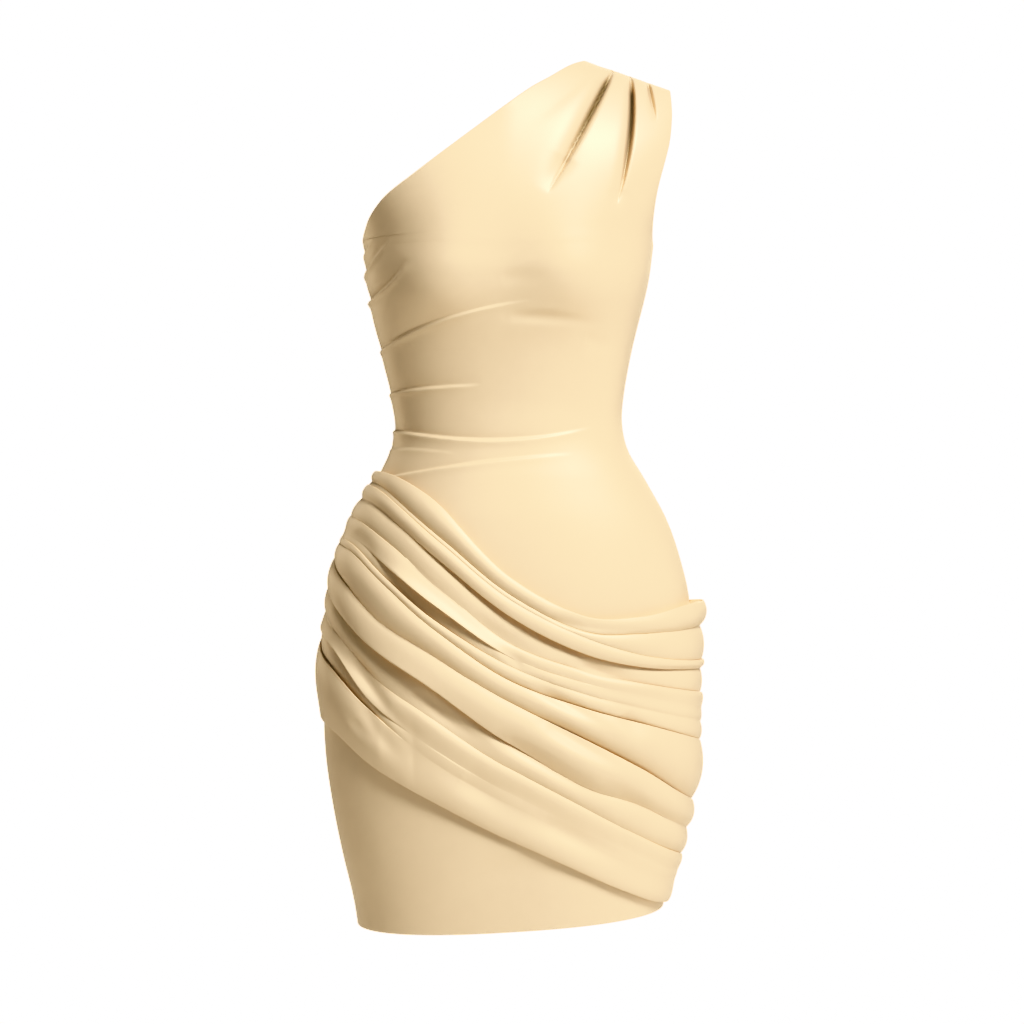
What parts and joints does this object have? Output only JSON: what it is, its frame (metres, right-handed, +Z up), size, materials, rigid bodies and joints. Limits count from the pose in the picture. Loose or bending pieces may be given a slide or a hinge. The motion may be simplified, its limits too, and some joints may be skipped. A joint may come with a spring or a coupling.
{
  "type": "one-shoulder mini dress, worn form",
  "caption": "Hollow fitted mini dress on one shoulder, with a gathered strap, a slanting neckline and a pleated panel draped across the hips; the wearer's shoulder holds it up.",
  "frame": {"origin": "underside of the shoulder strap at the middle of its seam, where the wearer's left shoulder carries the dress", "axes": "+Z up, the front of the dress faces -Y, +X is the wearer's left"},
  "size_m": [0.4028, 0.2524, 0.8871],
  "materials": {
    "satin": "soft satin"
  },
  "bodies": {
    "root": {"front": "satin", "back": "satin", "drape": "satin"}
  },
  "joints": []
}
